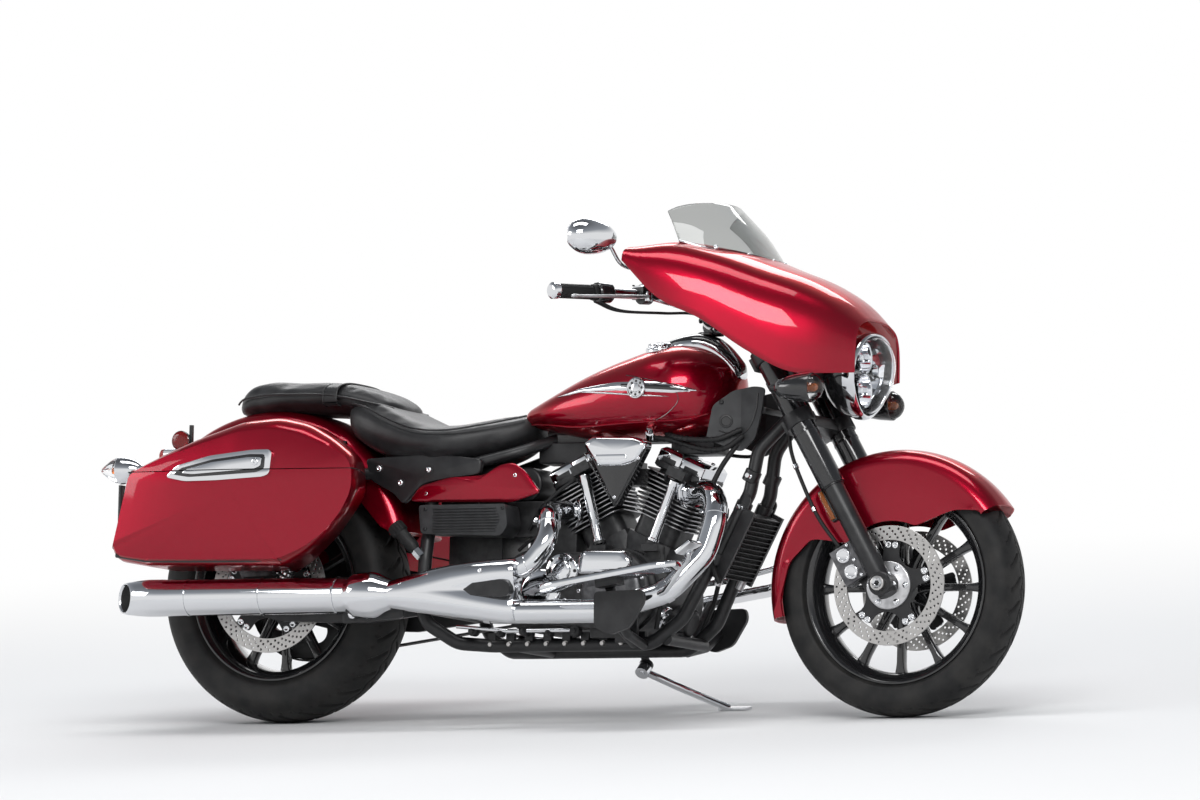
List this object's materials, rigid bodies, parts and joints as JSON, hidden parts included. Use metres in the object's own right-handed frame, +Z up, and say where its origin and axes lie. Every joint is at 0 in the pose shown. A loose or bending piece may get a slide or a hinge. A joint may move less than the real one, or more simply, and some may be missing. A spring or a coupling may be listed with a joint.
{
  "type": "touring cruiser motorcycle",
  "caption": "Touring cruiser motorcycle with fork-mounted fairing, hard saddlebags and air-cooled V-twin, leaning on its side stand.",
  "frame": {"origin": "on the ground below the centre of the bounding box of the machine as it leans on its side stand", "axes": "+X to the front of the machine, +Y to its left, +Z up"},
  "size_m": [2.483, 1.0194, 1.2895],
  "materials": {
    "red_paint": "gloss metallic",
    "chrome": "polished",
    "black_satin": "satin",
    "black_gloss": "gloss",
    "engine_black": "satin",
    "steel": "brushed",
    "grey_metal": "cast",
    "tyre": "matt",
    "rubber": "matt",
    "leather": "grained",
    "clear": "clear",
    "red_lens": "gloss",
    "grey_plastic": "matt"
  },
  "bodies": {
    "chassis": {"rear_axle": "steel", "swingarm": "black_satin", "drive_belt": "rubber", "rear_caliper": "grey_metal", "frame_cradle": "black_satin", "rear_shocks": "black_satin", "front_cylinder": "engine_black", "rear_cylinder": "engine_black", "rocker_covers": "chrome", "crankcase": "engine_black", "primary_cover": "engine_black", "gear_cover": "chrome", "intake_cover": "chrome", "exhaust_headers": "chrome", "muffler": "chrome", "fuel_tank": "red_paint", "tank_console": "chrome", "rear_fender": "red_paint", "rider_seat": "leather", "passenger_seat": "leather", "saddlebag_right": "red_paint", "saddlebag_left": "red_paint", "rear_signals": "chrome", "footboards": "black_satin", "side_covers": "red_paint", "side_box": "black_satin", "neck_covers": "grey_plastic", "oil_cooler": "black_satin", "tail_lamp": "red_lens", "tail_bracket": "black_satin"},
    "rear_wheel": {"rear_tyre": "tyre", "rear_rim": "black_gloss", "rear_disc": "steel", "rear_pulley": "black_gloss"},
    "front_wheel": {"front_tyre": "tyre", "front_rim": "black_gloss", "front_discs": "steel"},
    "steering": {"fork_legs": "black_satin", "triple_clamp": "black_satin", "front_axle": "steel", "front_calipers": "grey_metal", "front_fender": "red_paint", "fairing": "red_paint", "windscreen": "clear", "headlamp_bowl": "chrome", "headlamp_lens": "clear", "front_signals": "chrome", "handlebar": "chrome", "grips": "rubber", "hand_controls": "black_satin", "mirrors": "chrome", "gauges": "grey_plastic"},
    "side_stand": {"side_stand": "chrome"},
    "bag_lid_right": {"bag_lid_right": "red_paint"},
    "bag_lid_left": {"bag_lid_left": "red_paint"}
  },
  "joints": [
    {"name": "front_wheel_spin", "type": "hinge", "parent": "steering", "child": "front_wheel", "pos_m": [0.9215, -0.09879, 0.31723], "axis": [0, 0.9877, -0.1564], "continuous": true},
    {"name": "rear_wheel_spin", "type": "hinge", "parent": "chassis", "child": "rear_wheel", "pos_m": [-0.7935, -0.09723, 0.32711], "axis": [0, 0.9877, -0.1564], "continuous": true},
    {"name": "steering_turn", "type": "hinge", "parent": "chassis", "child": "steering", "pos_m": [0.60359, -0.02454, 0.78602], "axis": [-0.5, 0.1355, 0.8554], "range_deg": [-35, 35]},
    {"name": "side_stand_fold", "type": "hinge", "parent": "chassis", "child": "side_stand", "pos_m": [0.1565, -0.01363, 0.1134], "axis": [0.0311, 0.8086, 0.5875], "range_deg": [0, 115]},
    {"name": "right_lid_lift", "type": "hinge", "parent": "chassis", "child": "bag_lid_right", "pos_m": [-0.7635, -0.23845, 0.71396], "axis": [-1, 0, 0], "range_deg": [0, 60]},
    {"name": "left_lid_lift", "type": "hinge", "parent": "chassis", "child": "bag_lid_left", "pos_m": [-0.7635, 0.15662, 0.65139], "axis": [1, 0, 0], "range_deg": [0, 60]}
  ]
}
